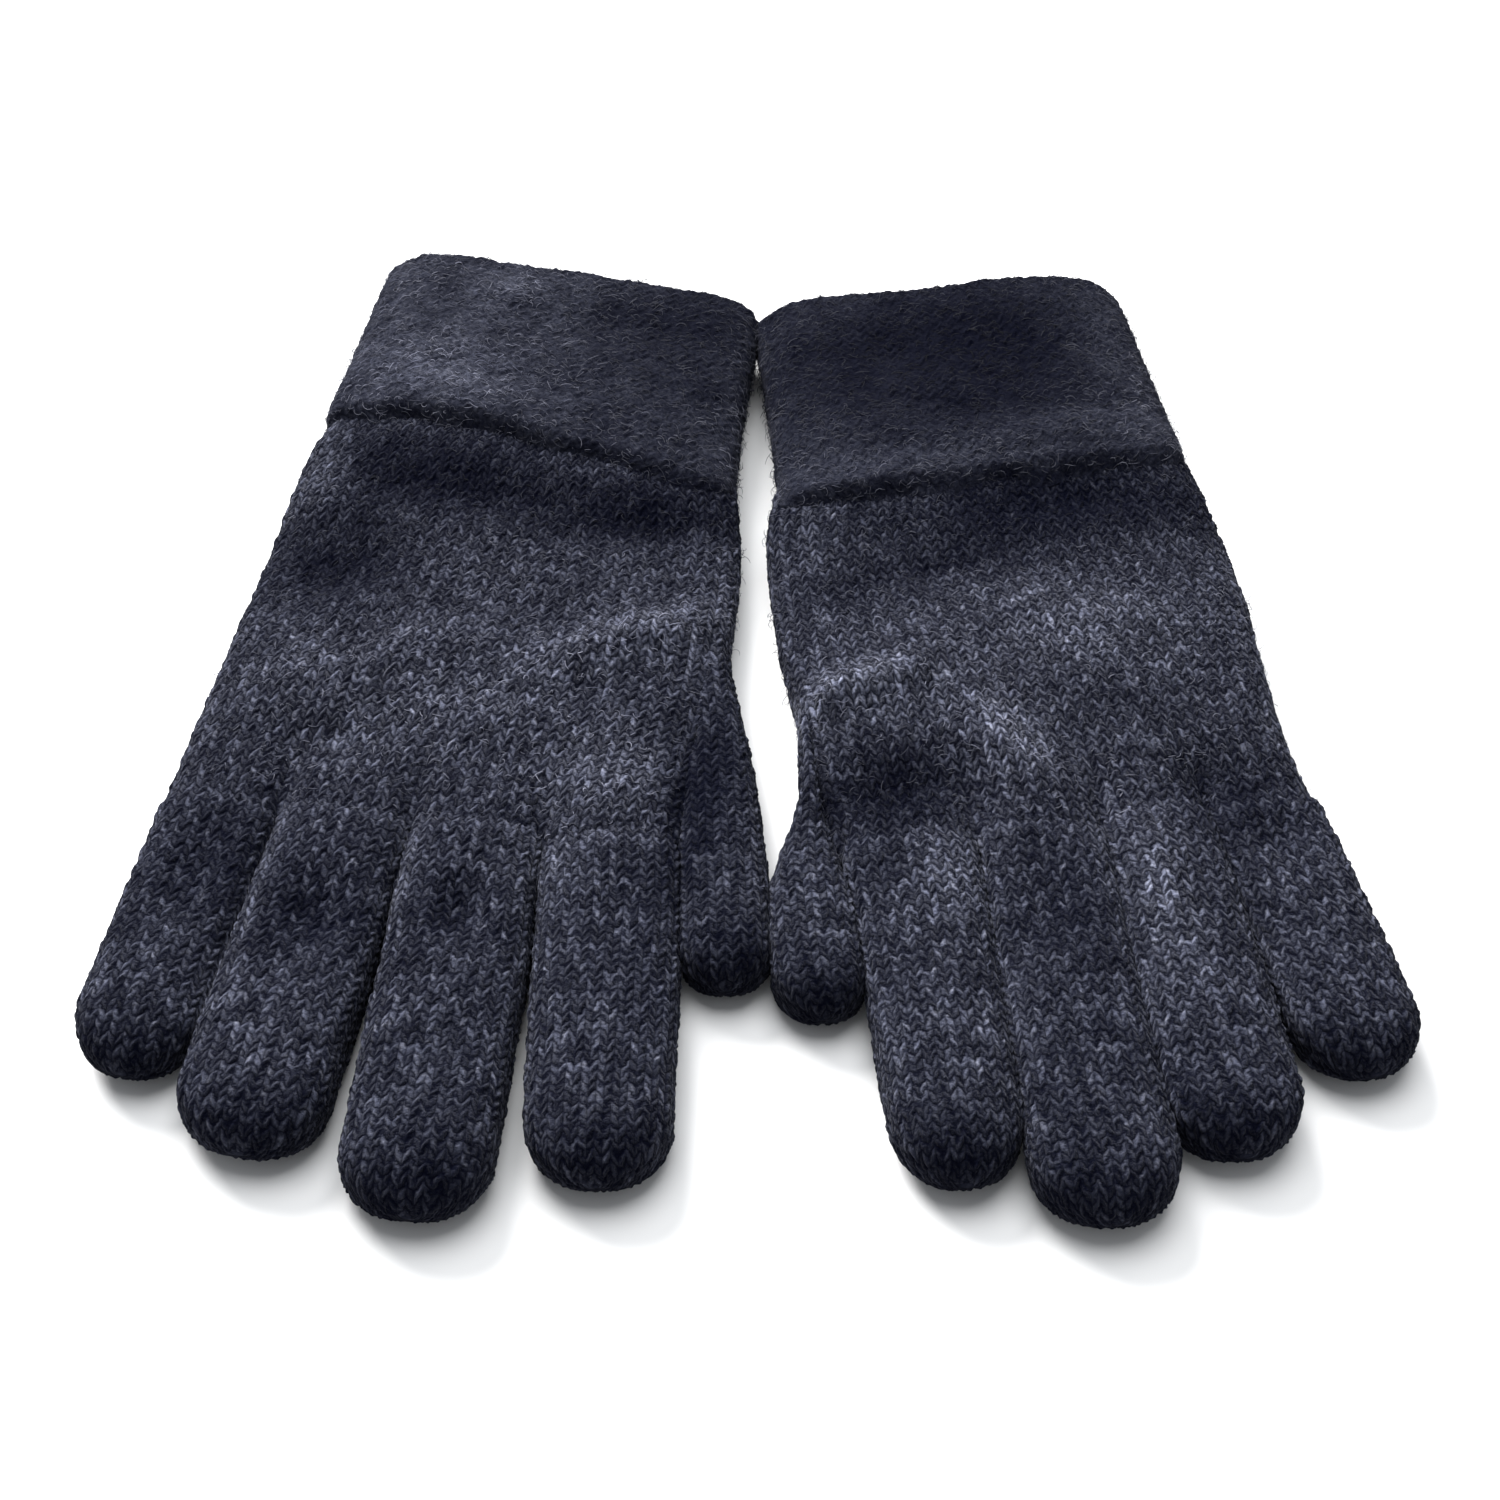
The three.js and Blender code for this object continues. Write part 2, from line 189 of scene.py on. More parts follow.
PAINTED_TIP_SHADE = -0.7  # painted shade that darkens each fingertip, in the same terms as the last number above
DEEP_BLUE = (0.0, 0.0004, 0.0042)  # added to the wool's colour, so that its darkest places stay blue

# A loose fibre is a three-sided thread through six points.
FIBRE_POINTS = 6
FIBRE_SIDES = 3
FIBRE_CORNERS = FIBRE_POINTS * FIBRE_SIDES
FIBRE_TAPER = np.array([0.5, 1, 1, 1, 0.9, 0.4])


def smooth_curve(points, at, soft=4.0):
    """A curve through [place, value] points, rounded off over about soft."""
    places = [point[0] for point in points]
    values = [point[1] for point in points]
    steps = np.linspace(-2, 2, 9) * soft
    weights = np.exp(-((steps / soft) ** 2))
    return sum(w * np.interp(at + step, places, values) for w, step in zip(weights, steps)) / weights.sum()


def smoothstep(low, high, at):
    """0 before low, 1 after high, and a smooth climb between; low may be above high."""
    t = np.clip((at - low) / (high - low), 0, 1)
    return t * t * (3 - 2 * t)


def hashed(a, b, seed):
    """A fixed pseudo-random number from 0 to 1 for each pair of whole numbers."""
    mixed = np.sin(a * 12.9898 + b * 78.233 + seed * 37.719) * 43758.5453
    return mixed - np.floor(mixed)


def mottle(x, y, size, seed):
    """Smooth noise from -1 to 1 with lumps of the given size."""
    x, y = x / size, y / size
    i, j = np.floor(x), np.floor(y)
    s, t = smoothstep(0, 1, x - i), smoothstep(0, 1, y - j)
    near = hashed(i, j, seed) * (1 - s) + hashed(i + 1, j, seed) * s
    far = hashed(i, j + 1, seed) * (1 - s) + hashed(i + 1, j + 1, seed) * s
    return 2 * (near * (1 - t) + far * t) - 1


def hills(x, y, folds):
    """Height of the soft hills and hollows at x, y."""
    height = 0 * x
    for at_x, at_y, along, across, turned, rise in folds:
        turn = np.radians(turned)
        p = (x - at_x) * np.cos(turn) + (y - at_y) * np.sin(turn)
        q = (y - at_y) * np.cos(turn) - (x - at_x) * np.sin(turn)
        height = height + rise * np.exp(-((p / along) ** 2) - (q / across) ** 2)
    return height


def knit_relief(u, v, seed):
    """Height of stockinette at wale u and course v: 0 in the gaps, about 1 on a stitch's legs."""
    u = u + 0.08 * mottle(u, v, 1.7, seed)
    v = v + 0.3 * mottle(u, v, 1.1, seed + 1)
    spread = np.abs(u - np.floor(u) - 0.5) * 2
    lie = v - SLANT * spread
    leg = np.floor(2 * u)
    across = 2 * (2 * u - leg) - 1
    along = lie - np.floor(lie)
    full = 0.3 + 1.3 * hashed(leg, np.floor(lie), seed)
    return full * (0.35 + 0.65 * np.sqrt(np.clip(1 - across**2, 0, 1))) * np.sin(np.pi * along) ** 0.9


def purl_relief(u, v, seed):
    """Height of the brushed reverse: rows of short wavy bumps, matted together."""
    v = v + 0.35 * np.cos(2 * np.pi * u) + 0.3 * mottle(u, v, 1.6, seed)
    row = np.floor(v)
    full = 0.35 + 1.1 * hashed(np.floor(u + 0.5 * row), row, seed)
    return full * np.sin(np.pi * (v - row)) + 0.5 * mottle(u, v, 0.45, seed + 2)


def rings(left, right, low, high, power, columns):
    """Closed sections, one a row, with points evenly spaced from the middle of the underside and back."""
    turn = np.linspace(-np.pi / 2, 1.5 * np.pi, 721)
    across = np.sign(np.cos(turn)) * np.abs(np.cos(turn)) ** (2 / power)
    up = np.sign(np.sin(turn)) * np.abs(np.sin(turn)) ** (2 / power)
    share = np.arange(columns) / columns
    x, z, round_ = [], [], []
    for l, r, b, t in zip(left, right, low, high):
        px, pz = (l + r + (r - l) * across) / 2, (b + t + (t - b) * up) / 2
        run = np.concatenate([[0], np.cumsum(np.hypot(np.diff(px), np.diff(pz)))])
        x.append(np.interp(share * run[-1], run, px))
        z.append(np.interp(share * run[-1], run, pz))
        round_.append(run[-1])
    return np.array(x), np.array(z), np.array(round_)


def outward(grid):
    """Unit normals of a grid of closed rows, pointing out."""
    around = np.roll(grid, -1, axis=1) - np.roll(grid, 1, axis=1)
    along = np.gradient(grid, axis=0)
    normal = np.cross(around, along)
    normal /= np.maximum(np.linalg.norm(normal, axis=2, keepdims=True), 1e-9)
    out = grid - grid.mean(axis=1, keepdims=True)
    return normal * np.sign((normal * out).sum())


class Glove:
    """A glove's own frame, worked out from its finger joints, and the way from it into the world."""

    def __init__(self, title):
        self.title = title
        self.side = SIDES[title]
        self.body = f"{title}_glove"
        root = {digit: np.array(JOINTS[f"{title}_{digit}_root_fold"]["pos_m"]) for digit in FINGERS}
        across = root["index"] - root["little"]
        self.across = across / np.linalg.norm(across)
        self.up = np.array([0.0, 0.0, 1.0])
        self.cuffward = self.side * np.cross(self.up, self.across)
        x, y = INDEX_ROOT[title]
        origin = root["index"] - MM * (x * self.across + y * self.cuffward)
        self.origin = np.array([origin[0], origin[1], 0.0])

    def world(self, points):
        """Points in millimetres in the glove's frame, as metres in the world."""
        points = np.asarray(points, float)
        axes = np.array([self.across, self.cuffward, self.up])
        return self.origin + MM * points @ axes

    def local(self, point):
        """A point in the world, in the glove's frame."""
        axes = np.array([self.across, self.cuffward, self.up])
        return axes @ (np.asarray(point, float) - self.origin) / MM

    def turned(self, directions):
        """Directions in the glove's frame, in the world."""
        return directions @ np.array([self.across, self.cuffward, self.up])


class Digit:
    """Where a digit's axis, knuckle, tip and touch seam are, from its joints and CAD nodes."""

    def __init__(self, glove, name):
        self.glove, self.name = glove, name
        title = f"{glove.title}_{name}"
        root_joint, knuckle_joint = JOINTS[f"{title}_root_fold"], JOINTS[f"{title}_knuckle_fold"]
        self.root = glove.local(root_joint["pos_m"])[:2]
        run = glove.local(knuckle_joint["pos_m"])[:2] - self.root
        self.knuckle = np.linalg.norm(run)
        self.way = run / self.knuckle
        self.inward = np.array([self.way[1], -self.way[0]])  # across the digit, towards the little finger
        if self.inward[0] > 0:
            self.inward = -self.inward
        self.nodes = [node for node in (f"{title}_base_tube", f"{title}_end_tube", f"{title}_touch_tip")
                      if node in frame["nodes"]]
        self.long = self.reach(self.nodes[-1]).max()
        self.seam = self.reach(self.nodes[-1]).min() if len(self.nodes) == 3 else None

    def reach(self, node):
        """How far along the digit each vertex of a CAD node is."""
        corners = np.array([vertex.co for vertex in frame["nodes"][node].data.vertices])
        points = np.array([self.glove.local(corner)[:2] for corner in corners])
        return (points - self.root) @ self.way

    def point(self, along):
        """The point of the digit's axis at a distance from its root, in the world."""
        return Vector(self.glove.world(np.append(self.root + self.way * along, MID_HIGH)))

    def place(self, along, offset, z):
        """Points in the glove's frame: along the axis from the root, and offset to the thumb's side."""
        flat = self.root + np.multiply.outer(along, self.way) - np.multiply.outer(offset, self.inward)
        return np.stack([flat[..., 0], flat[..., 1], z], axis=-1)


def mesh_piece(name, glove, grid, u, v, tone, normals, material):
    """A closed mesh from a grid of rows, with flat caps at its ends and a UV map of its stitches."""
    rows, columns = grid.shape[:2]
    points = [grid.reshape(-1, 3), grid[0].mean(axis=0)[None], grid[-1].mean(axis=0)[None]]
    vertices = glove.world(np.concatenate(points))
    row, column = np.meshgrid(np.arange(rows - 1), np.arange(columns), indexing="ij")
    after = (column + 1) % columns
    quads = np.stack([row * columns + column, row * columns + after,
                      (row + 1) * columns + after, (row + 1) * columns + column], axis=-1).reshape(-1, 4)
    place_u = np.stack([u[row, column], u[row, column + 1],
                        u[row + 1, column + 1], u[row + 1, column]], axis=-1)
    place_v = np.stack([v[row, column], v[row, after], v[row + 1, after], v[row + 1, column]], axis=-1)
    first, last = rows * columns, rows * columns + 1
    ring = np.arange(columns)
    start_cap = np.stack([np.roll(ring, -1), ring, np.full(columns, first)], axis=-1)
    end_ring = (rows - 1) * columns + ring
    end_cap = np.stack([end_ring, np.roll(end_ring, -1), np.full(columns, last)], axis=-1)
    a, b, c, d = (vertices[quads[:, k]] for k in range(4))
    flip = (np.cross(a, b) * c).sum() + (np.cross(a, c) * d).sum() < 0
    faces = [quads, start_cap, end_cap]
    cap_uv = np.zeros((columns, 3, 2))
    uv = [np.stack([place_u, place_v], axis=-1).reshape(-1, 4, 2), cap_uv, cap_uv]
    if flip:
        faces = [face[:, ::-1] for face in faces]
        uv = [part[:, ::-1] for part in uv]
    mesh = bpy.data.meshes.new(name)
    loops = np.concatenate([face.ravel() for face in faces])
    sizes = np.concatenate([np.full(len(face), face.shape[1]) for face in faces])
    mesh.vertices.add(len(vertices))
    mesh.vertices.foreach_set("co", vertices.astype(np.float32).ravel())
    mesh.loops.add(len(loops))
    mesh.loops.foreach_set("vertex_index", loops.astype(np.int32))
    mesh.polygons.add(len(sizes))
    mesh.polygons.foreach_set("loop_start", np.concatenate([[0], np.cumsum(sizes)[:-1]]).astype(np.int32))
    smooth = np.ones(len(sizes), bool)
    smooth[len(quads):] = False
    mesh.polygons.foreach_set("use_smooth", smooth)
    layer = mesh.uv_layers.new(name="knit")
    layer.data.foreach_set("uv", np.concatenate([part.reshape(-1) for part in uv]).astype(np.float32))
    # painted light and shade, a factor on the colour at each point; the two cap centres get 1
    painted_light_shade = mesh.attributes.new("painted_light_shade", "FLOAT", "POINT")
    painted_light_shade.data.foreach_set("value", np.append(tone.ravel(), [1, 1]).astype(np.float32))
    mesh.materials.append(material)
    mesh.update()
    mesh.validate()
    ends = [normals[0].mean(axis=0)[None], normals[-1].mean(axis=0)[None]]
    directions = glove.turned(np.concatenate([normals.reshape(-1, 3), *ends]))
    mesh.normals_split_custom_set_from_vertices(directions.tolist())
    piece = bpy.data.objects.new(name, mesh)
    bpy.context.scene.collection.objects.link(piece)
    return piece


def painted_shading_factor(glove, grid, change=0.0):
    """Painted light and shade at each point of a grid: a factor on the colour, about 1."""
    return np.exp(hills(grid[..., 0], grid[..., 1], PAINTED_LIGHT_AND_SHADE[glove.title]) + change)


def even_rows(start, stop):
    """Places from start down or up to stop, a quarter of a course apart and on whole quarters."""
    step = COURSE / ROWS
    first, last = round(start / step), round(stop / step)
    return np.arange(first, last + np.sign(last - first), np.sign(last - first)) * step


def wale_places(columns, count, rows, share=1.0):
    """Wale coordinate of each column (and one more, past the seam), counted from the top's middle line."""
    across = (np.arange(columns + 1) / columns - 0.5) * count
    return np.multiply.outer(np.ones(rows) * share, across)


def hand_grid(glove, digits, seed):
    """The hand's surface, from inside the cuff to where it closes between the fingers."""
    y = even_rows(*HAND_SPAN)
    outline = HAND[glove.title]
    outer = smooth_curve([row[:2] for row in outline], y)
    thumbward = smooth_curve([[row[0], row[2]] for row in outline], y)
    neck = smoothstep(*NECK, y)
    tuck = smoothstep(*TUCK, y)
    low = REST + NECK_RISE * neck + TUCK_IN * tuck
    high = smooth_curve(BACK[glove.title], y) - 0.8 * tuck
    columns = HAND_WALES * COLUMNS
    x, z, _ = rings(outer + TUCK_IN * tuck, thumbward - TUCK_IN * tuck, low, high, FLAT, columns)
    yy = np.repeat(y[:, None], columns, axis=1)
    near = smoothstep(*FINGER_SWELL, yy)
    middle = (low + high)[:, None] / 2
    top = np.clip((z - middle) / ((high - low)[:, None] / 2), -1, 1)
    bulge = 0 * x
    for digit in digits:
        if digit.name == "thumb":
            continue
        span = SPREAD[glove.title][digit.name][1]
        axis = digit.root[0] + digit.way[0] * (ROOT_Y - yy) - (span[1] + span[2]) / 2 * digit.inward[0]
        half = (span[2] - span[1]) / 2
        bulge = np.maximum(bulge, np.clip(1 - np.abs((x - axis) / half) ** 3, 0, 1) ** (1 / 3))
    crotch = 0.35 + 0.3 * smoothstep(73, 80, yy)
    squeeze = 1 - near * (1 - np.maximum(bulge, crotch))
    z = middle + (z - middle) * np.where(top > 0, squeeze, 1 - 0.6 * (1 - squeeze))
    upper = smoothstep(0.1, 0.8, top)
    z = z + upper * (hills(x, yy, FOLDS[glove.title]) + 0.5 * mottle(x, yy, 11, seed) * (1 - near))
    grid = np.stack([x, yy, z], axis=-1)
    u = wale_places(columns, HAND_WALES, len(y))
    v = yy / COURSE
    relief = knit_relief(u[:, :-1], v, seed)
    grid = grid + outward(grid) * ((relief - 0.6) * KNIT_RELIEF)[..., None]
    grid[..., 2] = np.maximum(grid[..., 2], REST)
    return grid, u, v


def cuff_grid(glove, seed):
    """The turned-up cuff: from its hem, up its outside, over its top fold and down into the mouth."""
    outside = np.arange(0, 1.0001, COURSE / ROWS / CUFF_LONG)
    fold = np.linspace(0, np.pi, 10)
    inside = np.linspace(0.03, 1, 40)
    up = np.concatenate([outside, np.ones(len(fold)), np.ones(len(inside))])
    depth = np.concatenate([0 * outside, np.sin(fold) * FOLD_OUT, -MOUTH_DEEP * inside])
    thin = HEM_THIN * (1 - smoothstep(0, HEM_SHARE, outside)) ** 1.3
    inset = np.concatenate([thin, FOLD_HALF * (1 - np.cos(fold)), np.full(len(inside), 2 * FOLD_HALF)])
    outline = CUFF[glove.title]
    columns = CUFF_WALES * COLUMNS
    place = up * CUFF_LONG + CUFF_START
    outer = smooth_curve([row[:2] for row in outline], place)
    thumbward = smooth_curve([[row[0], row[2]] for row in outline], place)
    swell = 1 - 0.04 * smoothstep(0.8, 1, up)
    pinch = np.concatenate([np.zeros(len(up) - len(inside)), inside**1.5])
    high = CUFF_HIGH * swell - inset
    low = REST + inset * 0.9
    middle = (low + high) / 2
    half = np.maximum((high - low) / 2 * (1 - pinch * 0.9), 0.3)
    x, z, _ = rings(outer + inset * 0.7, thumbward - inset * 0.7, middle - half, middle + half, FLAT,
                    columns)
    hem = smooth_curve(HEM[glove.title], x, 5)
    top = smooth_curve(TOP[glove.title], x, 5)
    edge = np.abs(2 * x - (outer + thumbward)[:, None]) / (thumbward - outer)[:, None]
    top = top - 5.5 * np.clip(edge, 0, 1) ** 9
    climb = up[:, None]
    wave = 0.5 * mottle(x, 0 * x, 9, seed + 5) + 0.35 * mottle(x, z, 3.5, seed + 6)
    y = hem + (top - hem) * climb + depth[:, None] + wave * smoothstep(0.9, 1, climb)
    y = y + 1.4 * mottle(x, z, 6, seed + 7) * smoothstep(0.1, 0, climb)
    level = smoothstep(0.1, 0.8, (z - middle[:, None]) / np.maximum(half, 0.1)[:, None])
    out = np.concatenate([smoothstep(0, 0.1, outside), np.ones(len(fold)), np.zeros(len(inside))])[:, None]
    z = z + level * out * (hills(x, y, CUFF_FOLDS[glove.title]) + 0.5 * mottle(x, y, 13, seed))
    grid = np.stack([x, y, z], axis=-1)
    u = wale_places(columns, CUFF_WALES, len(up))
    run = np.concatenate([[0], np.cumsum(np.linalg.norm(np.diff(grid[:, columns // 2], axis=0), axis=1))])
    v = np.repeat((run / COURSE)[:, None], columns, axis=1)
    relief = purl_relief(u[:, :-1], v, seed)
    grid = grid + outward(grid) * ((relief - 0.5) * PURL_RELIEF)[..., None]
    grid[..., 2] = np.maximum(grid[..., 2], REST)
    return grid, u, v


def digit_grid(digit, seed):
    """A digit's surface, from inside the hand to its tip."""
    title, name = digit.glove.title, digit.name
    spread = SPREAD[title][name]
    tall = DIGIT_HIGH[name]
    thumb = name == "thumb"
    dome = THUMB_DOME if thumb else DOME
    long = digit.long + (1.0 if thumb else -1.0)
    start = spread[0][0] if thumb else FINGER_START
    sweep = np.sin(np.linspace(0, np.pi / 2, 60))
    profile = np.concatenate([np.linspace(start, long - dome, 200)[:-1], long - dome + dome * sweep])
    tip = np.clip((profile - long + dome) / dome, 0, 1)
    rise = tall / 2 * np.sqrt(1 - np.minimum(tip, LAST_OF_DOME) ** DOME_POWER)
    run = np.concatenate([[0], np.cumsum(np.hypot(np.diff(profile), np.diff(rise)))])
    places = np.arange(0, run[-1], COURSE / ROWS)
    along = np.interp(places, run, profile)
    tip = np.clip((along - long + dome) / dome, 0, LAST_OF_DOME)
    inner = smooth_curve([row[:2] for row in spread], along, 3)
    outer = smooth_curve([[row[0], row[2]] for row in spread], along, 3)
    centre, half = (inner + outer) / 2, (outer - inner) / 2
    half = half * np.sqrt(1 - tip**2)
    lift = np.sqrt(1 - tip**DOME_POWER)
    hidden = 0 * along if thumb else smoothstep(1.5, -4, along)
    half = half - ROOT_SLIM * hidden
    tall_here = tall * lift * (1 - 0.16 * hidden)
    middle = REST + tall / 2 - 0.1
    circle = 2 * (2 * half.max() + tall) * 0.87
    count = int(round(circle / WALE))
    columns = count * COLUMNS
    offset, z, round_ = rings(centre - half, centre + half, middle - tall_here / 2, middle + tall_here / 2,
                              SOFT, columns)
    full = np.interp(long - dome, along, round_)
    share = np.minimum(1, round_ / (round_.max() if thumb else full))
    aa = np.repeat(along[:, None], columns, axis=1)
    level = smoothstep(0.1, 0.8, (z - middle) / (tall / 2))
    for at, beside, reach, across, height in DIMPLES[title][name]:
        z = z + level * height * np.exp(-(((aa - at) / reach) ** 2) - ((offset - beside) / across) ** 2)
    z = z + level * 0.35 * mottle(aa, offset, 9, seed) * smoothstep(long, long - dome, aa)
    offset = offset + 0.3 * mottle(aa, z, 14, seed + 3)
    grid = digit.place(aa, offset, z)
    u = wale_places(columns, count, len(along), share)
    v = np.repeat((-places / COURSE)[:, None], columns, axis=1)
    relief = knit_relief(u[:, :-1], v, seed)
    fade = smoothstep(LAST_OF_DOME, 0.97, tip)[:, None]
    grid = grid + outward(grid) * (fade * (relief - 0.6) * KNIT_RELIEF)[..., None]
    grid[..., 2] = np.maximum(grid[..., 2], REST)
    return grid, u, v, along


class Shader:
    """A material under construction, with short ways to add maths."""

    def __init__(self, name):
        self.material = bpy.data.materials.new(name)
        self.material.use_nodes = True
        self.tree = self.material.node_tree
        self.nodes, self.links = self.tree.nodes, self.tree.links
        self.surface = self.nodes["Principled BSDF"]

    def feed(self, source, target):
        """Link source to target, or set target if source is a number."""
        if isinstance(source, (int, float)):
            target.default_value = source
        else:
            self.links.new(source, target)

    def math(self, operation, a, b=0.0, c=None):
        node = self.nodes.new("ShaderNodeMath")
        node.operation = operation
        self.feed(a, node.inputs[0])
        self.feed(b, node.inputs[1])
        if c is not None:
            self.feed(c, node.inputs[2])
        return node.outputs[0]

    def vector(self, x, y, z=0.0):
        node = self.nodes.new("ShaderNodeCombineXYZ")
        for value, target in zip((x, y, z), node.inputs):
            self.feed(value, target)
        return node.outputs[0]

    def noise(self, vector, scale, detail=2.0, roughness=0.5):
        node = self.nodes.new("ShaderNodeTexNoise")
        self.links.new(vector, node.inputs["Vector"])
        node.inputs["Scale"].default_value = scale
        node.inputs["Detail"].default_value = detail
        node.inputs["Roughness"].default_value = roughness
        return node.outputs["Fac"]

    def white(self, vector):
        node = self.nodes.new("ShaderNodeTexWhiteNoise")
        node.noise_dimensions = "3D"
        self.links.new(vector, node.inputs["Vector"])
        return node.outputs["Value"]

    def ramp(self, factor, stops):
        node = self.nodes.new("ShaderNodeValToRGB")
        self.links.new(factor, node.inputs["Fac"])
        elements = node.color_ramp.elements
        while len(elements) < len(stops):
            elements.new(0.5)
        for element, (place, colour) in zip(elements, stops):
            element.position = place
            element.color = (*colour, 1)
        return node.outputs["Color"]

    def tint(self, colour, factor):
        """The colour made lighter or darker by a factor."""
        node = self.nodes.new("ShaderNodeVectorMath")
        node.operation = "SCALE"
        self.links.new(colour, node.inputs[0])
        self.feed(factor, node.inputs["Scale"])
        return node.outputs[0]

    def combine(self, operation, a, b):
        """Vector maths on two colours, where b may be a plain colour."""
        node = self.nodes.new("ShaderNodeVectorMath")
        node.operation = operation
        self.links.new(a, node.inputs[0])
        if isinstance(b, tuple):
            node.inputs[1].default_value = b
        else:
            self.links.new(b, node.inputs[1])
        return node.outputs[0]

    def bump(self, height, strength, distance, onto=None):
        node = self.nodes.new("ShaderNodeBump")
        self.links.new(height, node.inputs["Height"])
        node.inputs["Strength"].default_value = strength
        node.inputs["Distance"].default_value = distance
        if onto is not None:
            self.links.new(onto, node.inputs["Normal"])
        return node.outputs["Normal"]


def stockinette_stitch(s, u, v, wander):
    """The front of the knitting: each leg's number, how far along it lies, its fibres and its roundness."""
    spread = s.math("ABSOLUTE", s.math("MULTIPLY_ADD", s.math("FRACT", u), 2.0, -1.0))
    lie = s.math("ADD", s.math("MULTIPLY_ADD", spread, -SLANT, v), wander)
    leg = s.math("FLOOR", s.math("MULTIPLY", u, 2.0))
    fibre_place = s.vector(s.math("MULTIPLY", u, 6.0), s.math("MULTIPLY", lie, 2.4))
    side = s.math("SINE", s.math("MULTIPLY", s.math("FRACT", s.math("MULTIPLY", u, 2.0)), np.pi))
    along = s.math("SINE", s.math("MULTIPLY", s.math("FRACT", lie), np.pi))
    body = s.math("MULTIPLY", s.math("POWER", along, 1.5),
                  s.math("MULTIPLY_ADD", s.math("POWER", side, 0.6), 0.75, 0.25))
    return leg, lie, fibre_place, body


def reverse_stitch(s, u, v, wander):
    """The brushed reverse, in the same terms: wavy rows in place of legs."""
    wave = s.math("COSINE", s.math("MULTIPLY", u, 2 * np.pi))
    lie = s.math("ADD", s.math("MULTIPLY_ADD", wave, 0.3, v), s.math("MULTIPLY", wander, 1.6))
    leg = s.math("FLOOR", s.math("MULTIPLY_ADD", s.math("FLOOR", lie), 0.5, u))
    fibre_place = s.vector(s.math("MULTIPLY", u, 2.2), s.math("MULTIPLY", lie, 4.5))
    body = s.math("SINE", s.math("MULTIPLY", s.math("FRACT", lie), np.pi))
    return leg, lie, fibre_place, body


def yarn_material(name, purl, bright, sheen):
    """Heathered wool: each leg of a stitch has its own tone, with fine fibres lying along it."""
    s = Shader(name)
    place = s.nodes.new("ShaderNodeUVMap")
    place.uv_map = "knit"
    split = s.nodes.new("ShaderNodeSeparateXYZ")
    s.links.new(place.outputs["UV"], split.inputs[0])
    u, v = split.outputs[0], split.outputs[1]
    room = s.nodes.new("ShaderNodeTexCoord").outputs["Object"]
    painted_light_shade = s.nodes.new("ShaderNodeAttribute")
    painted_light_shade.attribute_name = "painted_light_shade"
    wander = s.math("MULTIPLY_ADD", s.noise(place.outputs["UV"], 1.5, 2.0, 0.6), 1.8, -0.9)
    if purl:
        leg, lie, fibre_place, body = reverse_stitch(s, u, v, wander)
        tones = [(0.0, 0.75), (0.5, 0.95), (0.8, 1.15), (1.0, 1.45)]
        depth, floor = 0.45, 0.55
        cloud_size, cloud_gain, cloud_floor = 75.0, 2.4, -0.2
        loop_bump = 0.4
    else:
        leg, lie, fibre_place, body = stockinette_stitch(s, u, v, wander)
        tones = [(0.0, 0.25), (0.4, 0.6), (0.75, 1.35), (1.0, 2.5)]
        depth, floor = 1.35, 0.22
        cloud_size, cloud_gain, cloud_floor = 30.0, 1.4, 0.3
        loop_bump = 0.7
    tone = s.white(s.vector(leg, s.math("FLOOR", lie), 3.0))
    heather = s.ramp(tone, [(stop, (value / 2.5,) * 3) for stop, value in tones])
    fibre = s.noise(fibre_place, 2.6, 3.0, 0.6)
    cloud = s.noise(room, cloud_size, 3.0, 0.6)
    felt = s.noise(room, 1300.0, 2.0, 0.6)
    speck = s.noise(room, 700.0, 2.0, 0.6)
    hue = s.ramp(speck, [(0.3, (0.024, 0.026, 0.038)), (0.55, (0.042, 0.045, 0.062)),
                         (0.75, (0.080, 0.083, 0.104))])
    # painted shade: depth and floor darken the colour in the gaps between the legs (between the rows on the
    # reverse), following their roundness
    shade = s.math("MULTIPLY_ADD", body, depth, floor)
    shade = s.math("MULTIPLY", shade, s.math("MULTIPLY_ADD", fibre, 1.6, 0.2))
    shade = s.math("MULTIPLY", shade, s.math("MULTIPLY_ADD", felt, 2.0, 0.0))
    shade = s.math("MULTIPLY", shade, s.math("MULTIPLY_ADD", cloud, cloud_gain, cloud_floor))
    # painted light and shade, read from each point's attribute
    shade = s.math("MULTIPLY", shade, painted_light_shade.outputs["Fac"])
    shade = s.math("MULTIPLY", shade, bright)
    colour = s.tint(s.combine("MULTIPLY", hue, heather), shade)
    s.links.new(s.combine("ADD", colour, DEEP_BLUE), s.surface.inputs["Base Color"])
    loops = s.bump(body, loop_bump, 0.0005)
    ply = s.bump(fibre, 0.8, 0.0003, loops)
    fuzz = s.noise(room, 2400.0, 2.0, 0.7)
    s.links.new(s.bump(fuzz, 0.5, 0.0002, ply), s.surface.inputs["Normal"])
    s.surface.inputs["Roughness"].default_value = 0.92
    s.surface.inputs["Specular IOR Level"].default_value = 0.03
    s.links.new(s.math("MULTIPLY", shade, sheen), s.surface.inputs["Sheen Weight"])
    s.surface.inputs["Sheen Roughness"].default_value = 0.5
    s.surface.inputs["Sheen Tint"].default_value = (0.74, 0.76, 0.88, 1)
    return s.material


def elastic_material():
    """Covered rubber thread: fine ribs round the wrist."""
    s = Shader("covered_elastic")
    room = s.nodes.new("ShaderNodeTexCoord").outputs["Object"]
    grain = s.noise(room, 900.0, 3.0, 0.6)
    s.links.new(s.ramp(grain, [(0.3, (0.006,) * 3), (0.7, (0.03,) * 3)]), s.surface.inputs["Base Color"])
    s.links.new(s.bump(grain, 0.6, 0.0002), s.surface.inputs["Normal"])
    s.surface.inputs["Roughness"].default_value = 0.8
    return s.material


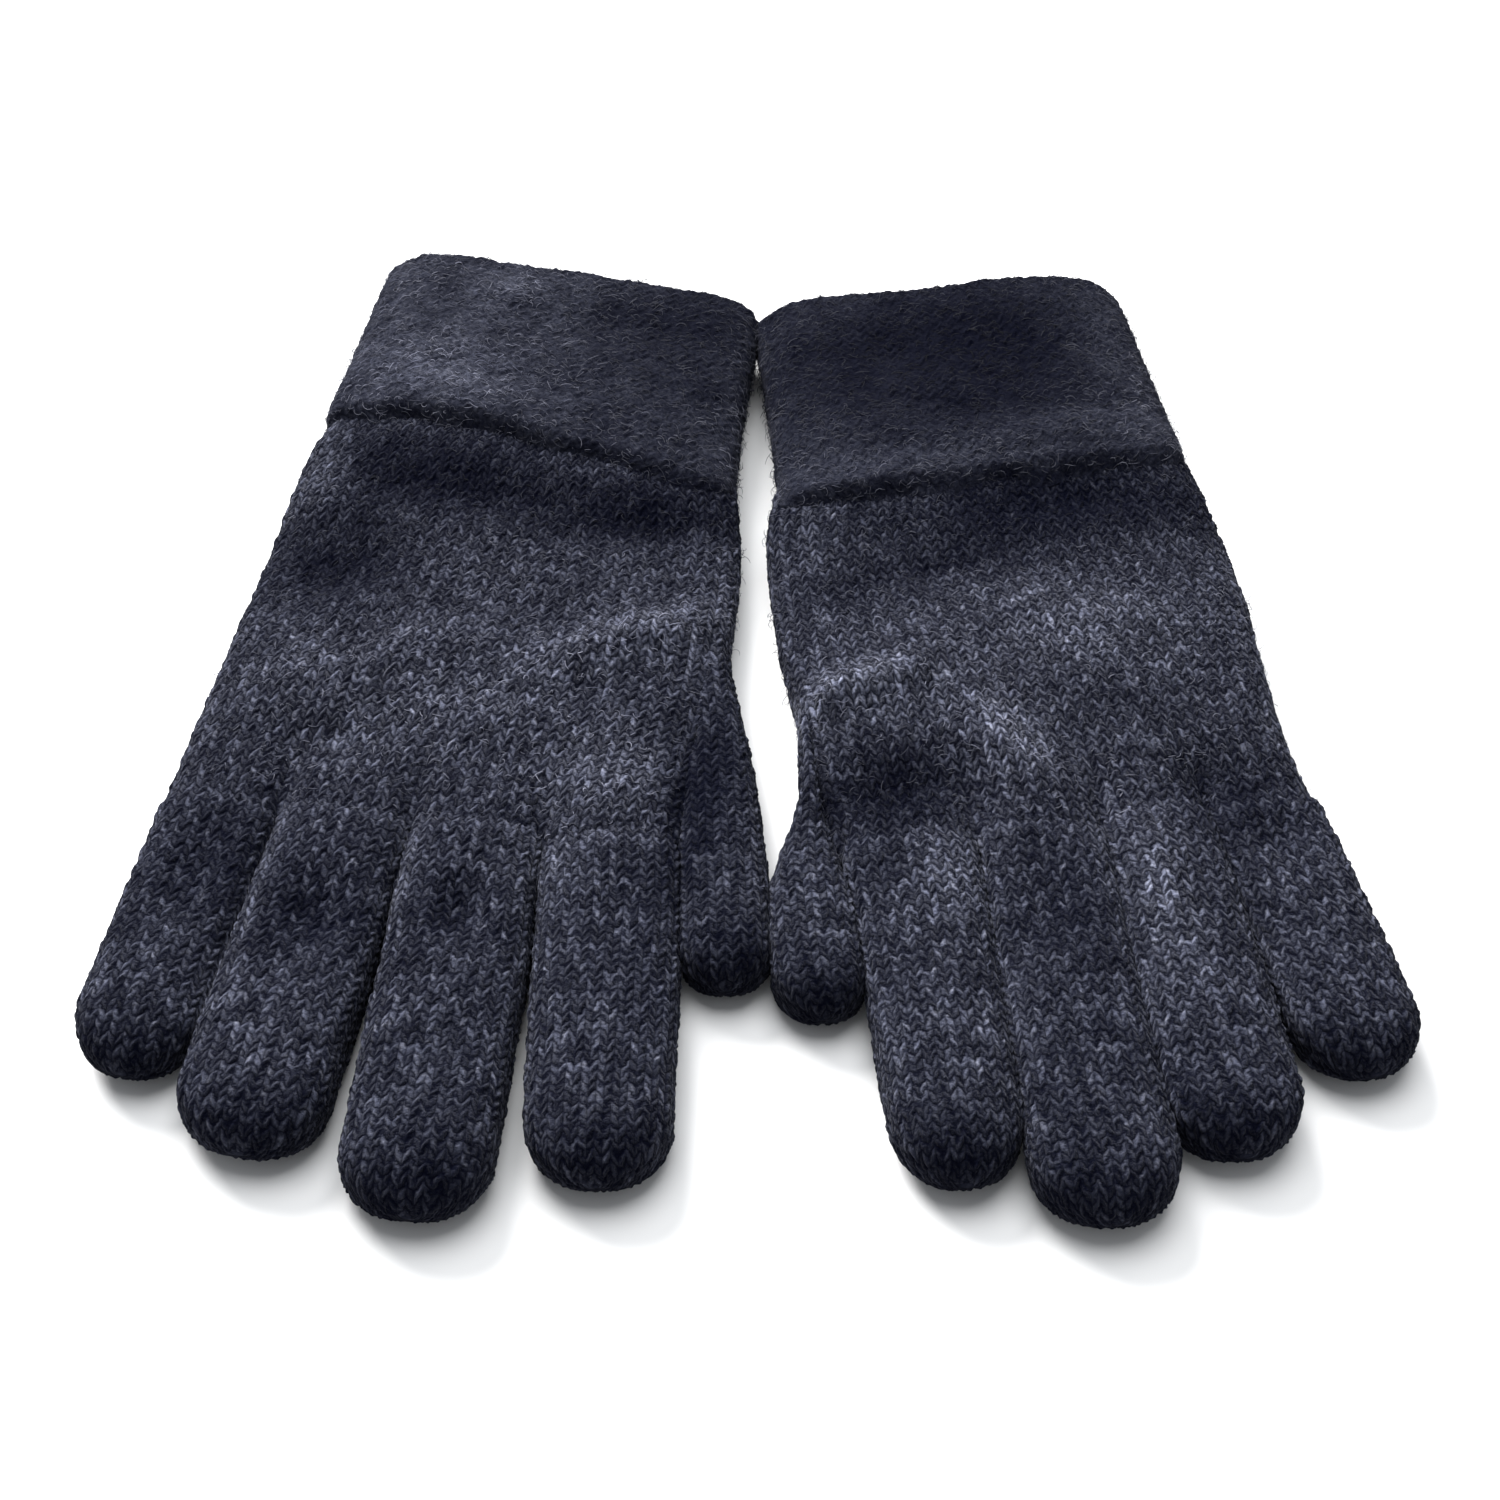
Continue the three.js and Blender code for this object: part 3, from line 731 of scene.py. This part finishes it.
def loose_fibres(name, glove, grid, seed, count, length, lift, material, where=None):
    """Thin stray wool fibres that curl over a piece's surface, each a closed three-sided thread."""
    rng = np.random.default_rng(seed)
    normals = outward(grid)
    rows, columns = grid.shape[:2]
    first_row, last_row = where or (2, rows - 3)
    row = rng.integers(first_row, last_row, count)
    column = rng.integers(int(columns * 0.16), int(columns * 0.84), count)
    start, normal = grid[row, column], normals[row, column]
    around = np.roll(grid, -1, axis=1)[row, column] - start
    around /= np.maximum(np.linalg.norm(around, axis=1, keepdims=True), 1e-9)
    along = np.cross(normal, around)
    heading = rng.normal(0, 0.55, count) + np.pi * rng.integers(0, 2, count)
    bend = rng.normal(0, 1.1, count)
    size = length * rng.uniform(0.5, 1.3, count)
    height = lift * rng.uniform(0.3, 1.3, count)
    steps = np.linspace(0, 1, FIBRE_POINTS)
    centre = []
    point = start - 0.25 * normal
    for k, t in enumerate(steps):
        turn = heading + bend * (t - 0.5) * 2
        step = np.cos(turn)[:, None] * around + np.sin(turn)[:, None] * along
        if k:
            point = point + step * (size / (FIBRE_POINTS - 1))[:, None]
        centre.append(point + normal * (height * np.sin(np.pi * t))[:, None])
    centre = np.stack(centre, axis=1)
    thick = rng.uniform(0.04, 0.07, count)[:, None] * FIBRE_TAPER
    side = np.cross(np.gradient(centre, axis=1), normal[:, None])
    side /= np.maximum(np.linalg.norm(side, axis=2, keepdims=True), 1e-9)
    corners = []
    for angle in (0, 2 * np.pi / 3, 4 * np.pi / 3):
        corners.append(centre + thick[..., None] * (np.cos(angle) * side + np.sin(angle) * normal[:, None]))
    points = np.stack(corners, axis=2)
    vertices = glove.world(points.reshape(-1, 3))
    vertices[:, 2] = np.maximum(vertices[:, 2], REST * MM)
    base = np.arange(count) * FIBRE_CORNERS
    quads = []
    for ring in range(FIBRE_POINTS - 1):
        start_ring = base + FIBRE_SIDES * ring
        end_ring = start_ring + FIBRE_SIDES
        for corner in range(FIBRE_SIDES):
            after = (corner + 1) % FIBRE_SIDES
            quads.append(np.stack([start_ring + corner, start_ring + after,
                                   end_ring + after, end_ring + corner], axis=-1))
    last = base + FIBRE_CORNERS - FIBRE_SIDES
    ends = [np.stack([base + 2, base + 1, base], axis=-1), np.stack([last, last + 1, last + 2], axis=-1)]
    faces = np.concatenate(quads).tolist() + np.concatenate(ends).tolist()
    mesh = bpy.data.meshes.new(name)
    mesh.from_pydata(vertices, [], faces)
    # each fibre takes the painted light and shade of the point where it starts, times a random tone of its
    # own
    painted_light_shade = mesh.attributes.new("painted_light_shade", "FLOAT", "POINT")
    brightness = painted_shading_factor(glove, start) * rng.uniform(0.4, 1.5, count)
    painted_light_shade.data.foreach_set("value", np.repeat(brightness, FIBRE_CORNERS))
    mesh.materials.append(material)
    mesh.polygons.foreach_set("use_smooth", np.ones(len(faces), bool))
    piece = bpy.data.objects.new(name, mesh)
    bpy.context.scene.collection.objects.link(piece)
    return piece


def fibre_material():
    """Loose wool fibre, paler than the yarn because light passes through it."""
    s = Shader("loose_fibre")
    room = s.nodes.new("ShaderNodeTexCoord").outputs["Object"]
    painted_light_shade = s.nodes.new("ShaderNodeAttribute")
    painted_light_shade.attribute_name = "painted_light_shade"
    tone = s.noise(room, 130.0, 2.0, 0.5)
    colour = s.ramp(tone, [(0.3, (0.04, 0.042, 0.062)), (0.7, (0.13, 0.133, 0.165))])
    # the painted light and shade makes each fibre lighter or darker
    s.links.new(s.tint(colour, painted_light_shade.outputs["Fac"]), s.surface.inputs["Base Color"])
    s.surface.inputs["Roughness"].default_value = 0.9
    s.surface.inputs["Specular IOR Level"].default_value = 0.1
    return s.material


def build_digit(digit, materials, seed):
    """A digit's knitted pieces: one at the root and one over the knuckle, and a touch tip that rides."""
    glove, name = digit.glove, digit.name
    title = f"{glove.title}_{name}"
    grid, u, v, along = digit_grid(digit, seed)
    normals = outward(grid)
    # painted light and shade, with painted shade added over the last 16 mm to each fingertip
    tone = painted_shading_factor(glove, grid, PAINTED_TIP_SHADE * smoothstep(digit.long - 16, digit.long, along)[:, None])
    if name == "thumb":
        root_bend = (-6.0, 7.0)
    else:
        root_bend = (-2.5, 8.5)
    knuckle_bend = (digit.knuckle - 10.0, digit.knuckle + 10.0)
    split = int(np.searchsorted(along, (root_bend[1] + knuckle_bend[0]) / 2))
    cuts = [0, split]
    if digit.seam:
        cuts.append(int(np.searchsorted(along, max(digit.seam, knuckle_bend[1] + 0.3))))
    cuts.append(len(along) - 1)
    body = {"glove": glove.body, "base": f"{title}_base", "end": f"{title}_end"}
    names = ["root", "finger", "touch_tip"]
    for k, (start, stop) in enumerate(zip(cuts, cuts[1:])):
        part = slice(start, stop + 1)
        tip = names[k] == "touch_tip"
        piece = mesh_piece(f"{title}_{names[k]}_knit", glove, grid[part], u[part], v[part], tone[part],
                           normals[part], materials["touch" if tip else "knit"])
        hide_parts(digit.nodes[k])
        if names[k] == "root":
            digit.point(root_bend[0])
            digit.point(root_bend[1])
            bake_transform(piece)
        elif tip:
            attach(piece, body["end"])
        else:
            digit.point(knuckle_bend[0])
            digit.point(knuckle_bend[1])
            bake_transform(piece)


def build_glove(title, materials, seed):
    glove = Glove(title)
    digits = [Digit(glove, name) for name in DIGITS]
    grid, u, v = hand_grid(glove, digits, seed)
    hand = mesh_piece(f"{title}_hand_knit", glove, grid, u, v, painted_shading_factor(glove, grid), outward(grid),
                      materials["knit"])
    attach(hand, glove.body)
    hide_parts(f"{title}_hand_tube")
    fuzz = loose_fibres(f"{title}_hand_fibres", glove, grid, seed + 50, 4000, 2.4, 0.5, materials["fibre"])
    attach(fuzz, glove.body)
    grid, u, v = cuff_grid(glove, seed + 11)
    cuff = mesh_piece(f"{title}_cuff_knit", glove, grid, u, v, painted_shading_factor(glove, grid), outward(grid),
                      materials["cuff"])
    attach(cuff, glove.body)
    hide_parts(f"{title}_turned_cuff", f"{title}_wrist_tube")
    fuzz = loose_fibres(f"{title}_cuff_fibres", glove, grid, seed + 51, 5000, 2.8, 0.6, materials["fibre"],
                        where=(3, 118))
    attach(fuzz, glove.body)
    elastic = frame["nodes"][f"{title}_cuff_elastic"]
    elastic.data.materials.clear()
    elastic.data.materials.append(materials["elastic"])
    for k, digit in enumerate(digits):
        build_digit(digit, materials, seed + 20 + k)


def area_light(name, place, aim, size, power, colour):
    light = bpy.data.lights.new(name, "AREA")
    light.shape = "DISK"
    light.size = size
    light.energy = power
    light.color = colour
    lamp = bpy.data.objects.new(name, light)
    lamp.location = place
    lamp.rotation_euler = (Vector(aim) - Vector(place)).to_track_quat("-Z", "Y").to_euler()
    bpy.context.scene.collection.objects.link(lamp)


def build_studio():
    """A white floor, a soft key light from behind and to the left, and an even sky."""
    bpy.ops.mesh.primitive_plane_add(size=6, location=(0, 0.4, 0))
    floor = bpy.context.object
    floor.name = "studio_floor"
    s = Shader("pale_floor")
    room = s.nodes.new("ShaderNodeTexCoord").outputs["Object"]
    s.links.new(s.ramp(s.noise(room, 3.0), [(0.3, (0.74,) * 3), (0.7, (0.78,) * 3)]),
                s.surface.inputs["Base Color"])
    s.surface.inputs["Roughness"].default_value = 0.9
    floor.data.materials.append(s.material)
    world = bpy.data.worlds.new("studio_sky")
    world.use_nodes = True
    nodes, links = world.node_tree.nodes, world.node_tree.links
    sky = nodes["Background"]
    sky.inputs["Color"].default_value = (0.93, 0.96, 1.0, 1)
    sky.inputs["Strength"].default_value = 0.42
    backdrop = nodes.new("ShaderNodeBackground")
    backdrop.inputs["Strength"].default_value = 1.5
    pick = nodes.new("ShaderNodeMixShader")
    links.new(nodes.new("ShaderNodeLightPath").outputs["Is Camera Ray"], pick.inputs[0])
    links.new(sky.outputs[0], pick.inputs[1])
    links.new(backdrop.outputs[0], pick.inputs[2])
    links.new(pick.outputs[0], nodes["World Output"].inputs["Surface"])
    scene = bpy.context.scene
    scene.world = world
    scene.view_settings.view_transform = "Standard"
    area_light("key", (-1.2, 2.2, 1.6), (0, 0, 0), 2.0, 290, (1.0, 0.99, 0.98))
    area_light("overhead", (0.0, 0.5, 2.0), (0, 0, 0), 1.8, 44, (0.98, 0.99, 1.0))


def build_camera():
    """The camera looks down over the fingertips towards the cuffs."""
    lens = bpy.data.cameras.new("view")
    lens.sensor_width = 36
    lens.lens = 61.2
    camera = bpy.data.objects.new("view", lens)
    camera.location = (0.000735, -0.3447, 0.3627)
    camera.rotation_euler = (np.radians(42.3), 0, 0)
    bpy.context.scene.collection.objects.link(camera)
    bpy.context.scene.camera = camera


build_camera()
build_studio()
MATERIALS = {
    "knit": yarn_material("wool_stockinette", False, 1.0, 0.07),
    "touch": yarn_material("conductive_wool", False, 0.91, 0.09),
    "cuff": yarn_material("brushed_wool_reverse", True, 0.84, 0.06),
    "elastic": elastic_material(),
    "fibre": fibre_material(),
}
build_glove("right", MATERIALS, 100)
build_glove("left", MATERIALS, 300)
